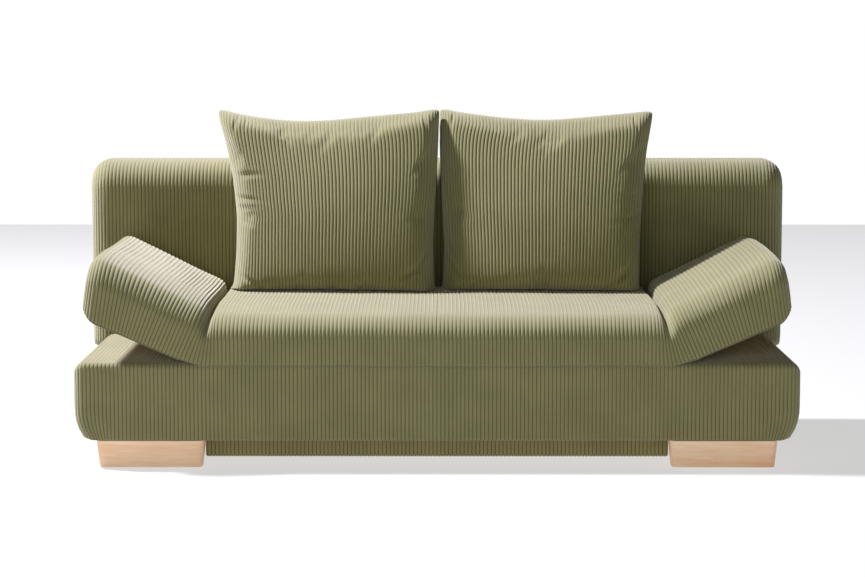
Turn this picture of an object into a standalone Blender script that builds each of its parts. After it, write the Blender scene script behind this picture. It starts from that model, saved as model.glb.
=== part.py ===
"""Futon sofa bed: bedding box on wooden feet, folding seat, arms and back, two loose pillows."""
import math

import bmesh
import bpy
from mathutils import Matrix, Vector

# ---- clearances -------------------------------------------------------------
GAP = 0.0003             # between pieces that touch
PLATE_GAP = 0.001        # between steel plates that turn past each other
BORE_GAP = 0.0003        # between a pin and its bore, on the radius
NEAR = 1e-5              # how close a corner counts as lying on a face

# ---- base box ---------------------------------------------------------------
BASE_WIDTH = 2.014
BASE_SETBACK = 0.005     # box front behind the seat front
BASE_REAR_SETBACK = 0.010    # box rear before the seat rear
RIM_DROP = 0.012         # board edges below the padded rim
BASE_BOTTOM = 0.075
BASE_TOP = 0.295
BASE_PAD = 0.030         # upholstery on the front
BASE_END_PAD = 0.060     # thicker on the two ends, whose lower corners are drawn in
BASE_PAD_ROUND = 0.013
REAR_CLOTH = 0.004
BOARD = 0.018
FLOOR_BOARD = 0.005
DECK_BOARD = 0.012
DECK_PAD = 0.020
DECK_PAD_ROUND = 0.004
PARTITION_X = 0.600      # inner face of the boards beside the bedding box

# ---- feet and plinth --------------------------------------------------------
FOOT_WIDTH = 0.300
FOOT_DEPTH = 0.080
FOOT_INSET_X = 0.061
FOOT_INSET_Y = 0.012
FOOT_ROUND = 0.016
FOOT_TAPER = 0.007       # narrower at the ground, at each end and at the front
PLINTH_REACH = 0.004     # how far it runs behind each front foot
PLINTH_SETBACK = 0.140
PLINTH_LIFT = 0.018      # above the ground
PLINTH_CLOTH = 0.005

# ---- seat -------------------------------------------------------------------
SEAT_HALF = 0.640        # half the width of the middle pad, at its underside
SEAT_DEPTH = 0.675
SEAT_TOP = 0.440
SEAT_END_SLOPE = math.radians(15)
SEAT_FRONT_ROUND = 0.070
SEAT_EDGE_ROUND = 0.025
SEAT_WALL = 0.047        # pad beside the frame, at the ends
SEAT_FRONT_WALL = 0.040
SEAT_REAR_WALL = 0.025
RAIL = 0.022
RAIL_HEIGHT = 0.060
SLAT_WIDTH = 0.060
SLAT_HEIGHT = 0.018
SLAT_COUNT = 3
SEAT_DECK = 0.008

# ---- arms -------------------------------------------------------------------
ARM_LENGTH = 0.385
ARM_ANGLE = math.radians(22)      # how far the arms stand up when the sofa is a sofa
ARM_OUTER_THICKNESS = 0.150
ARM_INNER_THICKNESS = 0.105       # squeezed foam at the crease
ARM_CREASE_REACH = 0.085          # crease edge, out from the hinge
ARM_SHOULDER = 0.360              # where the full thickness starts, out from the hinge
ARM_ROUND = 0.030
ARM_BOARD = 0.015
ARM_BOARD_REACH = 0.335
ARM_BOARD_INSET = 0.030
ARM_BOARD_START = 0.0125

# ---- arm hinges -------------------------------------------------------------
HINGE_END_ROOM = 0.0875  # from each end of the hinge to the seat's front and rear
HINGE_RISE = 0.010       # pin above the underside of the seat
HINGE_OUT = 0.003        # pin beyond the seat's end
KNUCKLE = 0.009
PIN = 0.004
LEAF = 0.003
LEAF_REACH = 0.060
KNUCKLE_ROOM = 0.0115

# ---- back -------------------------------------------------------------------
BACK_WIDTH = 2.105
BACK_THICKNESS = 0.190
BACK_GAP = 0.020         # behind the seat
BACK_BOTTOM = 0.250
BACK_TOP = 0.815
BACK_ROUND = 0.070
BACK_REAR_ROUND = 0.030
BACK_END_ROUND = 0.024
BACK_FOAM = 0.060        # foam in front of the frame
BACK_EDGE_WALL = 0.040   # foam round the frame
BACK_PANEL = 0.005
BACK_PANEL_LIFT = 0.110  # panel edge above the frame's lower edge
BACK_COVER = 0.004

# ---- seat and back hinges ---------------------------------------------------
PIVOT_INSET = 0.090      # pivot behind the front face of the back, so that the bed is level
LEVER = 0.004
LEVER_HALF = 0.017       # half the width of a lever
LEVER_END = 0.100        # how far the seat lever runs along the frame
LEVER_DROP = 0.020       # lever end below the top of the rail
BACK_LEVER_LENGTH = 0.200
BRACKET_FOOT = 0.036     # height of the bracket's flange
BRACKET_DROP = 0.055     # flange top below the top of the box
BRACKET_FLANGE = 0.045
PIVOT_RADIUS = 0.005
PIVOT_HEAD = 0.010
PIVOT_HEAD_LENGTH = 0.005
SLOT_MARGIN = 0.006

# ---- pillows ----------------------------------------------------------------
PILLOW_WIDTH = 0.573
PILLOW_SPLIT = 0.012     # from the middle of the sofa to each pillow
PILLOW_TOP = 0.970
PILLOW_BOTTOM_DEPTH = 0.200
PILLOW_TOP_DEPTH = 0.110
PILLOW_BACK_GAP = 0.005
PILLOW_ROUND = 0.060

# ---- places worked out from the sizes above --------------------------------
DEPTH = SEAT_DEPTH + BACK_GAP + BACK_THICKNESS
FRONT = -DEPTH / 2
BASE_FRONT = FRONT + BASE_SETBACK
BASE_REAR = FRONT + SEAT_DEPTH - BASE_REAR_SETBACK
BASE_HALF = BASE_WIDTH / 2
BOARD_FRONT = BASE_FRONT + BASE_PAD + GAP
BOARD_REAR = BASE_REAR - REAR_CLOTH - GAP
BOARD_HALF = BASE_HALF - BASE_END_PAD - GAP
BOARD_BOTTOM = BASE_BOTTOM + FLOOR_BOARD + GAP
BOARD_TOP = BASE_TOP - RIM_DROP
SEAT_BOTTOM = BASE_TOP + GAP
SEAT_REAR = FRONT + SEAT_DEPTH
HINGE_X = SEAT_HALF + HINGE_OUT
HINGE_Z = SEAT_BOTTOM + HINGE_RISE
HINGE_LENGTH = SEAT_DEPTH - 2 * HINGE_END_ROOM
HINGE_LOW_Y = FRONT + HINGE_END_ROOM
HINGE_HIGH_Y = HINGE_LOW_Y + HINGE_LENGTH
LEAF_BOTTOM = HINGE_Z - KNUCKLE
RAIL_BOTTOM = LEAF_BOTTOM + LEAF + GAP
RAIL_TOP = RAIL_BOTTOM + RAIL_HEIGHT
FRAME_HALF = SEAT_HALF - SEAT_WALL - GAP
FRAME_FRONT = FRONT + SEAT_FRONT_WALL + GAP
FRAME_REAR = SEAT_REAR - SEAT_REAR_WALL - GAP
BACK_FRONT = SEAT_REAR + BACK_GAP
BACK_REAR = BACK_FRONT + BACK_THICKNESS
BACK_HALF = BACK_WIDTH / 2
PIVOT_Y = BACK_FRONT + PIVOT_INSET
PIVOT_Z = SEAT_TOP - PIVOT_INSET
SEAT_LEVER_X = FRAME_HALF - RAIL - GAP - LEVER
BACK_LEVER_X = SEAT_LEVER_X + LEVER + PLATE_GAP
BRACKET_X = SEAT_LEVER_X - PLATE_GAP - LEVER
HINGE_STILE_X = BACK_LEVER_X + LEVER + GAP
SLOT_LOW_X = BRACKET_X - PIVOT_HEAD_LENGTH - SLOT_MARGIN
SLOT_HIGH_X = HINGE_STILE_X
SLOT_TOP = PIVOT_Z + LEVER_HALF + 2 * SLOT_MARGIN
BACK_FRAME_FRONT = BACK_FRONT + BACK_FOAM + GAP
BACK_FRAME_BOTTOM = BACK_BOTTOM + BACK_EDGE_WALL + GAP
BACK_FRAME_TOP = BACK_TOP - BACK_EDGE_WALL - GAP
BACK_FRAME_HALF = BACK_HALF - BACK_EDGE_WALL - GAP
BACK_STILE_FRONT = BACK_FRAME_FRONT + BACK_PANEL + GAP
BACK_STILE_REAR = BACK_REAR - BACK_COVER - GAP


def remove_everything():
    for obj in list(bpy.data.objects):
        bpy.data.objects.remove(obj, do_unlink=True)


def new_collection(name):
    collection = bpy.data.collections.new(name)
    bpy.context.scene.collection.children.link(collection)
    return collection


def new_material(name, color, roughness, metallic=0.0):
    material = bpy.data.materials.new(name)
    material.use_nodes = True
    shader = material.node_tree.nodes["Principled BSDF"]
    shader.inputs["Base Color"].default_value = (*color, 1.0)
    shader.inputs["Roughness"].default_value = roughness
    shader.inputs["Metallic"].default_value = metallic
    material.diffuse_color = (*color, 1.0)
    return material


def corduroy(name):
    """Ribbed olive-beige upholstery cloth over foam."""
    return new_material(name, (0.56, 0.53, 0.42), 0.95)


def lining(name):
    """Thin plain cloth that closes the rear faces."""
    return new_material(name, (0.20, 0.19, 0.15), 0.95)


def beech(name):
    """Pale clear-lacquered beech of the feet."""
    return new_material(name, (0.66, 0.43, 0.28), 0.45)


def timber(name):
    """Raw softwood and board of the hidden frame."""
    return new_material(name, (0.62, 0.48, 0.30), 0.80)


def zinc_steel(name):
    """Zinc-plated pressed steel of the hinges."""
    return new_material(name, (0.60, 0.61, 0.62), 0.40, 1.0)


def finish(obj, make_material):
    obj.data.materials.append(make_material(obj.name))
    return obj


def box(name, low, high, make_material, rounding=0.0, segments=2):
    """An upright block between two corners, with all its edges rounded if asked."""
    low, high = Vector(low), Vector(high)
    bpy.ops.mesh.primitive_cube_add(size=1.0, location=(low + high) / 2)
    obj = bpy.context.object
    obj.name = name
    obj.data.transform(Matrix.Diagonal((*(high - low), 1.0)))
    move_to_collection(obj, PARTS)
    if rounding:
        bevel = obj.modifiers.new("Rounding", "BEVEL")
        bevel.width = rounding
        bevel.segments = segments
    return finish(obj, make_material)


def move_to_collection(obj, collection):
    for old in list(obj.users_collection):
        old.objects.unlink(obj)
    collection.objects.link(obj)


def cutter(name, low, high):
    obj = box(name, low, high, zinc_steel)
    move_to_collection(obj, CUTTERS)
    obj.hide_render = True
    obj.display_type = "WIRE"
    return obj


def combine(obj, tool, operation="DIFFERENCE"):
    change = obj.modifiers.new(tool.name, "BOOLEAN")
    change.operation = operation
    change.solver = "EXACT"
    change.object = tool
    return tool


def round_edges(bm, pick, radius, segments):
    """Round the edges whose two ends both pass the test."""
    edges = [e for e in bm.edges if all(pick(v.co) for v in e.verts)]
    bmesh.ops.bevel(
        bm, geom=edges, offset=radius, segments=segments, profile=0.5,
        affect="EDGES", offset_type="OFFSET", material=-1,
    )


def prism_bmesh(outline, axis, start, end):
    """Extrude a closed outline of 2D points along world X or Y."""
    bm = bmesh.new()
    if axis == "X":
        corners = [bm.verts.new((start, a, b)) for a, b in outline]
        step = Vector((end - start, 0, 0))
    else:
        corners = [bm.verts.new((a, start, b)) for a, b in outline]
        step = Vector((0, end - start, 0))
    face = bm.faces.new(corners)
    grown = bmesh.ops.extrude_face_region(bm, geom=[face])
    moved = [g for g in grown["geom"] if isinstance(g, bmesh.types.BMVert)]
    bmesh.ops.translate(bm, verts=moved, vec=step)
    bmesh.ops.recalc_face_normals(bm, faces=bm.faces)
    return bm


def object_from(name, bm, make_material):
    mesh = bpy.data.meshes.new(name)
    bm.to_mesh(mesh)
    bm.free()
    obj = bpy.data.objects.new(name, mesh)
    PARTS.objects.link(obj)
    return finish(obj, make_material)


def cylinder(name, axis, radius, low, high, centre, make_material):
    """A round bar along X or Y, from low to high on that axis."""
    turn = (0, math.pi / 2, 0) if axis == "X" else (math.pi / 2, 0, 0)
    middle = (low + high) / 2
    place = (middle, *centre) if axis == "X" else (centre[0], middle, centre[1])
    bpy.ops.mesh.primitive_cylinder_add(
        vertices=24, radius=radius, depth=high - low, location=place, rotation=turn,
    )
    obj = bpy.context.object
    obj.name = name
    move_to_collection(obj, PARTS)
    return finish(obj, make_material)


def as_cutter(obj):
    move_to_collection(obj, CUTTERS)
    obj.hide_render = True
    obj.display_type = "WIRE"
    return obj


def new_pivot(name, place):
    """An empty on a joint's axis, which the moving pieces hang from."""
    empty = bpy.data.objects.new(name, None)
    empty.location = place
    bpy.context.scene.collection.objects.link(empty)
    bpy.context.view_layer.update()
    return empty


def hang_on(empty, objects):
    for obj in objects:
        obj.parent = empty
        obj.matrix_parent_inverse = empty.matrix_world.inverted()


def flat_plate(name, x_low, outline, hole, make_material):
    """A steel plate that stands across X, from an outline in (Y, Z), with one round hole."""
    data = bpy.data.curves.new(name, "CURVE")
    data.dimensions = "2D"
    data.fill_mode = "BOTH"
    data.extrude = LEVER / 2
    for points in (outline, hole):
        spline = data.splines.new("POLY")
        spline.points.add(len(points) - 1)
        for point, (y, z) in zip(spline.points, points):
            point.co = (y, z, 0, 1)
        spline.use_cyclic_u = True
    obj = bpy.data.objects.new(name, data)
    obj.rotation_euler = (math.pi / 2, 0, math.pi / 2)
    obj.location = (x_low + LEVER / 2, 0, 0)
    PARTS.objects.link(obj)
    return finish(obj, make_material)


def arc(centre, radius, start, end, steps):
    """Points on an arc in (Y, Z), with both ends; angles in degrees from +Y towards +Z."""
    angles = [math.radians(start + (end - start) * i / steps) for i in range(steps + 1)]
    return [(centre[0] + radius * math.cos(a), centre[1] + radius * math.sin(a)) for a in angles]


def pivot_hole():
    return arc((PIVOT_Y, PIVOT_Z), PIVOT_RADIUS + BORE_GAP, 0, 345, 23)


# ---- base box ---------------------------------------------------------------
def base_boards():
    """The four outer walls, the two partitions and the floor of the bedding box."""
    inner_front = BOARD_FRONT + BOARD
    inner_rear = BOARD_REAR - BOARD
    box("base_front_board", (-BOARD_HALF, BOARD_FRONT, BOARD_BOTTOM),
        (BOARD_HALF, inner_front, BOARD_TOP), timber)
    box("base_rear_board", (-BOARD_HALF, inner_rear, BOARD_BOTTOM),
        (BOARD_HALF, BOARD_REAR, BOARD_TOP), timber)
    box("base_floor_panel", (-BOARD_HALF, BOARD_FRONT, BASE_BOTTOM),
        (BOARD_HALF, BOARD_REAR, BASE_BOTTOM + FLOOR_BOARD), timber)
    deck_bottom = BASE_TOP - DECK_PAD - GAP - DECK_BOARD - GAP
    for side, sign in (("left", -1), ("right", 1)):
        mirror_box(f"base_{side}_board", sign, (BOARD_HALF - BOARD, BOARD_HALF),
                   (inner_front + GAP, inner_rear - GAP), (BOARD_BOTTOM, deck_bottom), timber)
        mirror_box(f"base_{side}_partition", sign, (PARTITION_X, PARTITION_X + BOARD),
                   (inner_front + GAP, inner_rear - GAP), (BOARD_BOTTOM, deck_bottom), timber)
        mirror_box(f"base_{side}_deck", sign, (PARTITION_X, BOARD_HALF),
                   (inner_front + GAP, inner_rear - GAP),
                   (deck_bottom + GAP, deck_bottom + GAP + DECK_BOARD), timber)
        mirror_box(f"base_{side}_deck_pad", sign, (PARTITION_X, BOARD_HALF),
                   (inner_front + GAP, inner_rear - GAP),
                   (BASE_TOP - DECK_PAD, BASE_TOP), corduroy, DECK_PAD_ROUND)


def mirror_box(name, sign, x_range, y_range, z_range, make_material, rounding=0.0):
    """A block given on the right-hand side, built on either side."""
    xs = sorted(sign * x for x in x_range)
    return box(name, (xs[0], y_range[0], z_range[0]), (xs[1], y_range[1], z_range[1]),
               make_material, rounding)


def base_upholstery():
    box("base_front_pad", (-BASE_HALF, BASE_FRONT, BASE_BOTTOM),
        (BASE_HALF, BASE_FRONT + BASE_PAD, BASE_TOP), corduroy, BASE_PAD_ROUND, 4)
    for side, sign in (("left", -1), ("right", 1)):
        mirror_box(f"base_{side}_pad", sign, (BASE_HALF - BASE_END_PAD, BASE_HALF),
                   (BASE_FRONT + BASE_PAD + GAP, BASE_REAR), (BASE_BOTTOM, BASE_TOP),
                   corduroy, BASE_PAD_ROUND)
    box("base_rear_cover", (-BOARD_HALF, BASE_REAR - REAR_CLOTH, BASE_BOTTOM),
        (BOARD_HALF, BASE_REAR, BASE_TOP), lining)


def feet():
    """Four wide beech feet under the corners of the box, tapered and with rounded upright edges."""
    outer = BASE_HALF - FOOT_INSET_X
    rows = (("front", BASE_FRONT + FOOT_INSET_Y),
            ("rear", BASE_REAR - FOOT_INSET_Y - FOOT_DEPTH))
    for row, y in rows:
        for side, sign in (("left", -1), ("right", 1)):
            foot = mirror_box(f"{row}_{side}_foot", sign, (outer - FOOT_WIDTH, outer),
                              (y, y + FOOT_DEPTH), (0, BASE_BOTTOM - GAP), beech)
            shape_foot(foot.data)


def shape_foot(mesh):
    """Draw the lower corners in by the taper, then round the four upright edges."""
    bm = bmesh.new()
    bm.from_mesh(mesh)
    for vert in bm.verts:
        if vert.co.z < 0:
            vert.co.x -= math.copysign(FOOT_TAPER, vert.co.x)
            vert.co.y -= math.copysign(FOOT_TAPER, vert.co.y)
    upright = [e for e in bm.edges if (e.verts[0].co.z < 0) != (e.verts[1].co.z < 0)]
    bmesh.ops.bevel(
        bm, geom=upright, offset=FOOT_ROUND, segments=6, profile=0.5,
        affect="EDGES", offset_type="OFFSET", material=-1,
    )
    bm.to_mesh(mesh)
    bm.free()


def plinth():
    half = BASE_HALF - FOOT_INSET_X - FOOT_WIDTH + PLINTH_REACH
    face = BASE_FRONT + PLINTH_SETBACK
    top = BASE_BOTTOM - GAP
    box("plinth_cover", (-half, face, PLINTH_LIFT), (half, face + PLINTH_CLOTH, top), corduroy)
    inner = face + PLINTH_CLOTH + GAP
    box("plinth_board", (-half, inner, PLINTH_LIFT), (half, inner + BOARD, top), timber)


# ---- hinges between base, seat and back ------------------------------------
def base_brackets():
    """Steel plates that stand behind the box and carry the pivot of seat and back."""
    flange_top = BASE_TOP - BRACKET_DROP
    wall = BASE_REAR + GAP
    for side, sign in (("left", -1), ("right", 1)):
        x_low = BRACKET_X if sign > 0 else -BRACKET_X - LEVER
        outline = [(wall, flange_top - BRACKET_FOOT)]
        outline += arc((PIVOT_Y, PIVOT_Z), LEVER_HALF, -45, 150, 13)
        outline += [(wall, flange_top)]
        plate = flat_plate(f"{side}_hinge_bracket", x_low, outline, pivot_hole(), zinc_steel)
        plate = as_mesh(plate)
        flange = mirror_box(f"{side}_bracket_flange", sign,
                            (BRACKET_X - BRACKET_FLANGE, BRACKET_X + LEVER / 2),
                            (wall, wall + LEAF),
                            (flange_top - BRACKET_FOOT, flange_top), zinc_steel)
        combine(plate, as_cutter(flange), "UNION")


def as_mesh(curve_object):
    """Turn a curve piece into a closed mesh, so that it can be joined or cut."""
    graph = bpy.context.evaluated_depsgraph_get()
    mesh = bpy.data.meshes.new_from_object(curve_object.evaluated_get(graph))
    bm = bmesh.new()
    bm.from_mesh(mesh)
    bmesh.ops.remove_doubles(bm, verts=bm.verts, dist=NEAR)
    bm.to_mesh(mesh)
    bm.free()
    name, place = curve_object.name, curve_object.matrix_world.copy()
    bpy.data.objects.remove(curve_object, do_unlink=True)
    obj = bpy.data.objects.new(name, mesh)
    obj.matrix_world = place
    PARTS.objects.link(obj)
    return obj


def pivot_bolts():
    for side, sign in (("left", -1), ("right", 1)):
        head = sorted((sign * (BRACKET_X - GAP), sign * (BRACKET_X - GAP - PIVOT_HEAD_LENGTH)))
        shaft = sorted((sign * (BRACKET_X - GAP - PIVOT_HEAD_LENGTH / 2),
                        sign * (BACK_LEVER_X + LEVER - GAP)))
        bolt = cylinder(f"{side}_pivot_bolt", "X", PIVOT_RADIUS, *shaft,
                        (PIVOT_Y, PIVOT_Z), zinc_steel)
        cap = cylinder(f"{side}_pivot_bolt_head", "X", PIVOT_HEAD, *head,
                       (PIVOT_Y, PIVOT_Z), zinc_steel)
        combine(bolt, as_cutter(cap), "UNION")


def seat_levers():
    """Plates on the inner faces of the seat's end rails, running back to the pivot."""
    pieces = []
    low = RAIL_BOTTOM
    start = FRAME_REAR - LEVER_END
    outline = [(start, low), (PIVOT_Y - PIVOT_INSET, low)]
    outline += arc((PIVOT_Y, PIVOT_Z), LEVER_HALF, -45, 90, 9)
    outline += [(start, RAIL_TOP - LEVER_DROP)]
    for side, sign in (("left", -1), ("right", 1)):
        x_low = SEAT_LEVER_X if sign > 0 else -SEAT_LEVER_X - LEVER
        pieces.append(flat_plate(f"{side}_seat_lever", x_low, outline, pivot_hole(), zinc_steel))
    return pieces


def back_levers():
    pieces = []
    top = PIVOT_Z + BACK_LEVER_LENGTH
    outline = arc((PIVOT_Y, PIVOT_Z), LEVER_HALF, 180, 360, 12)
    outline += [(PIVOT_Y + LEVER_HALF, top), (PIVOT_Y - LEVER_HALF, top)]
    for side, sign in (("left", -1), ("right", 1)):
        x_low = BACK_LEVER_X if sign > 0 else -BACK_LEVER_X - LEVER
        pieces.append(flat_plate(f"{side}_back_lever", x_low, outline, pivot_hole(), zinc_steel))
    return pieces


# ---- seat -------------------------------------------------------------------
def seat_pad():
    """Foam and cover of the seat: a tray turned over its frame, with slots for the hinges."""
    lean = (SEAT_TOP - SEAT_BOTTOM) * math.tan(SEAT_END_SLOPE)
    outline = [(-SEAT_HALF, SEAT_BOTTOM), (SEAT_HALF, SEAT_BOTTOM),
               (SEAT_HALF - lean, SEAT_TOP), (-SEAT_HALF + lean, SEAT_TOP)]
    bm = prism_bmesh(outline, "Y", FRONT, SEAT_REAR)
    round_edges(bm, lambda co: co.y < FRONT + NEAR and co.z > SEAT_TOP - NEAR,
                SEAT_FRONT_ROUND, 6)
    round_edges(bm, lambda co: co.y < FRONT + NEAR and co.z < SEAT_BOTTOM + NEAR,
                SEAT_EDGE_ROUND, 3)
    pad = object_from("seat_pad", bm, corduroy)
    roof = RAIL_TOP + GAP + SEAT_DECK + GAP
    pieces = [pad, combine(pad, cutter(
        "seat_pocket",
        (-FRAME_HALF - GAP, FRAME_FRONT - GAP, SEAT_BOTTOM - BOARD),
        (FRAME_HALF + GAP, FRAME_REAR + GAP, roof)))]
    for side, sign in (("left", -1), ("right", 1)):
        groove = sorted((sign * FRAME_HALF, sign * (HINGE_X + KNUCKLE_ROOM)))
        slot = sorted((sign * SLOT_LOW_X, sign * SLOT_HIGH_X))
        pieces.append(combine(pad, cutter(
            f"{side}_hinge_groove",
            (groove[0], HINGE_LOW_Y, SEAT_BOTTOM - BOARD),
            (groove[1], HINGE_HIGH_Y, HINGE_Z + KNUCKLE_ROOM))))
        pieces.append(combine(pad, cutter(
            f"{side}_seat_slot",
            (slot[0], FRAME_REAR - GAP, SEAT_BOTTOM - BOARD),
            (slot[1], SEAT_REAR + BOARD, SLOT_TOP))))
    return pieces


def seat_frame():
    pieces = []
    long_rail = SEAT_LEVER_X - GAP
    pieces.append(box("seat_front_rail", (-FRAME_HALF, FRAME_FRONT, RAIL_BOTTOM),
                      (FRAME_HALF, FRAME_FRONT + RAIL, RAIL_TOP), timber))
    pieces.append(box("seat_rear_rail", (-long_rail, FRAME_REAR - RAIL, RAIL_BOTTOM),
                      (long_rail, FRAME_REAR, RAIL_TOP), timber))
    inner_front = FRAME_FRONT + RAIL + GAP
    for side, sign in (("left", -1), ("right", 1)):
        pieces.append(mirror_box(f"seat_{side}_rail", sign, (FRAME_HALF - RAIL, FRAME_HALF),
                                 (inner_front, FRAME_REAR), (RAIL_BOTTOM, RAIL_TOP), timber))
    pieces.append(box("seat_deck", (-FRAME_HALF, FRAME_FRONT, RAIL_TOP + GAP),
                      (FRAME_HALF, FRAME_REAR, RAIL_TOP + GAP + SEAT_DECK), timber))
    pitch = 2 * long_rail / (SLAT_COUNT + 1)
    for i in range(SLAT_COUNT):
        x = -long_rail + pitch * (i + 1)
        pieces.append(box(f"seat_slat_{i + 1}",
                          (x - SLAT_WIDTH / 2, inner_front, RAIL_TOP - SLAT_HEIGHT),
                          (x + SLAT_WIDTH / 2, FRAME_REAR - RAIL - GAP, RAIL_TOP), timber))
    return pieces


# ---- arms, built flat and then turned up on their hinges -------------------
def arm_pad(side, sign):
    """Foam and cover of one arm, thin at the crease and full at the outer end."""
    corners = [(0.0, SEAT_BOTTOM), (ARM_LENGTH, SEAT_BOTTOM),
               (ARM_LENGTH, SEAT_BOTTOM + ARM_OUTER_THICKNESS),
               (ARM_SHOULDER, SEAT_BOTTOM + ARM_OUTER_THICKNESS),
               (ARM_CREASE_REACH, SEAT_BOTTOM + ARM_INNER_THICKNESS)]
    outline = [(sign * (HINGE_X + x), z) for x, z in corners]
    bm = prism_bmesh(outline, "Y", FRONT, SEAT_REAR)
    end_x = HINGE_X + ARM_LENGTH - NEAR
    round_edges(bm, lambda co: abs(co.x) > end_x, ARM_ROUND / 2, 3)
    pad = object_from(f"{side}_arm_pad", bm, corduroy)
    pocket = sorted((sign * (HINGE_X - KNUCKLE_ROOM),
                     sign * (HINGE_X + ARM_BOARD_REACH + GAP)))
    roof = HINGE_Z - KNUCKLE + LEAF + 2 * GAP + ARM_BOARD
    hollow = cutter(f"{side}_arm_pocket",
                    (pocket[0], FRONT + ARM_BOARD_INSET - GAP, SEAT_BOTTOM - BOARD),
                    (pocket[1], SEAT_REAR - ARM_BOARD_INSET + GAP, roof))
    combine(pad, hollow)
    return [pad, hollow]


def arm_board(side, sign):
    bottom = LEAF_BOTTOM + LEAF + GAP
    return mirror_box(f"{side}_arm_board", sign,
                      (HINGE_X + ARM_BOARD_START, HINGE_X + ARM_BOARD_REACH),
                      (FRONT + ARM_BOARD_INSET, SEAT_REAR - ARM_BOARD_INSET),
                      (bottom, bottom + ARM_BOARD), timber)


def hinge_leaf(name, sign, outward, knuckles):
    """One hinge leaf: a flat plate with its knuckles and the bore through them."""
    reach = sorted((sign * HINGE_X, sign * (HINGE_X + outward * LEAF_REACH)))
    plate = box(name, (reach[0], HINGE_LOW_Y, LEAF_BOTTOM),
                (reach[1], HINGE_HIGH_Y, LEAF_BOTTOM + LEAF), zinc_steel)
    pieces = [plate]
    for i, (low, high) in enumerate(knuckles):
        tube = cylinder(f"{name}_knuckle_{i}", "Y", KNUCKLE, low, high,
                        (sign * HINGE_X, HINGE_Z), zinc_steel)
        pieces.append(combine(plate, as_cutter(tube), "UNION"))
    room = knuckle_room(name, sign, knuckles)
    pieces += [combine(plate, tool) for tool in room]
    bore = cylinder(f"{name}_bore", "Y", PIN + BORE_GAP, HINGE_LOW_Y - BOARD,
                    HINGE_HIGH_Y + BOARD, (sign * HINGE_X, HINGE_Z), zinc_steel)
    pieces.append(combine(plate, as_cutter(bore)))
    return pieces


def knuckle_room(name, sign, knuckles):
    """Cutters that clear this leaf where the other leaf's knuckles turn."""
    edges = [HINGE_LOW_Y - BOARD]
    for low, high in knuckles:
        edges += [low, high]
    edges.append(HINGE_HIGH_Y + BOARD)
    xs = sorted((sign * (HINGE_X - KNUCKLE_ROOM), sign * (HINGE_X + KNUCKLE_ROOM)))
    tools = []
    for i in range(0, len(edges), 2):
        low, high = edges[i], edges[i + 1]
        if high - low > BOARD + GAP:
            tools.append(cutter(f"{name}_room_{i}", (xs[0], low, LEAF_BOTTOM - LEAF),
                                (xs[1], high, HINGE_Z + KNUCKLE_ROOM)))
    return tools


def hinge_knuckles():
    """Outer knuckles for the fixed leaf, the middle one for the moving leaf."""
    third = HINGE_LENGTH / 3
    outer = [(HINGE_LOW_Y, HINGE_LOW_Y + third - PLATE_GAP / 2),
             (HINGE_HIGH_Y - third + PLATE_GAP / 2, HINGE_HIGH_Y)]
    middle = [(HINGE_LOW_Y + third + PLATE_GAP / 2, HINGE_HIGH_Y - third - PLATE_GAP / 2)]
    return outer, middle


def hinge_pin(side, sign):
    return cylinder(f"{side}_arm_hinge_pin", "Y", PIN, HINGE_LOW_Y + PLATE_GAP,
                    HINGE_HIGH_Y - PLATE_GAP, (sign * HINGE_X, HINGE_Z), zinc_steel)


def arm(side, sign):
    outer, middle = hinge_knuckles()
    pieces = arm_pad(side, sign) + [arm_board(side, sign)]
    pieces += hinge_leaf(f"{side}_arm_leaf", sign, 1, middle)
    axis = new_pivot(f"{side}_arm_axis", (sign * HINGE_X, 0, HINGE_Z))
    hang_on(axis, pieces)
    axis.rotation_euler = (0, -sign * ARM_ANGLE, 0)
    fixed = hinge_leaf(f"{side}_seat_leaf", sign, -1, outer)
    return [axis, hinge_pin(side, sign)] + fixed


# ---- back -------------------------------------------------------------------
def back_pad():
    """Foam and cover of the back: a deep tray that is open at the rear."""
    outline = [(BACK_FRONT, BACK_BOTTOM), (BACK_REAR, BACK_BOTTOM),
               (BACK_REAR, BACK_TOP), (BACK_FRONT, BACK_TOP)]
    bm = prism_bmesh(outline, "X", -BACK_HALF, BACK_HALF)
    round_edges(bm, lambda co: co.y < BACK_FRONT + NEAR and co.z > BACK_TOP - NEAR,
                BACK_ROUND, 6)
    round_edges(bm, lambda co: co.y < BACK_FRONT + NEAR and co.z < BACK_BOTTOM + NEAR,
                BACK_ROUND, 6)
    round_edges(bm, lambda co: co.y > BACK_REAR - NEAR and co.z < BACK_BOTTOM + NEAR,
                BACK_ROUND, 6)
    round_edges(bm, lambda co: co.y > BACK_REAR - NEAR and co.z > BACK_TOP - NEAR,
                BACK_REAR_ROUND, 3)
    round_edges(bm, lambda co: co.x > BACK_HALF - NEAR, BACK_END_ROUND, 3)
    round_edges(bm, lambda co: co.x < -BACK_HALF + NEAR, BACK_END_ROUND, 3)
    pad = object_from("back_pad", bm, corduroy)
    pieces = [pad, combine(pad, cutter(
        "back_pocket",
        (-BACK_FRAME_HALF - GAP, BACK_FRAME_FRONT - GAP, BACK_FRAME_BOTTOM - GAP),
        (BACK_FRAME_HALF + GAP, BACK_REAR + BOARD, BACK_FRAME_TOP + GAP)))]
    return pieces + [combine(pad, tool) for tool in back_slots("back")]


def back_slots(prefix):
    """Room for the hinge plates through the lower edge of the back."""
    tools = []
    for side, sign in (("left", -1), ("right", 1)):
        slot = sorted((sign * SLOT_LOW_X, sign * SLOT_HIGH_X))
        tools.append(cutter(f"{prefix}_{side}_slot",
                            (slot[0], BACK_FRONT - BOARD, BACK_BOTTOM - BOARD),
                            (slot[1], BACK_REAR + BOARD, SLOT_TOP)))
    return tools


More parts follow.
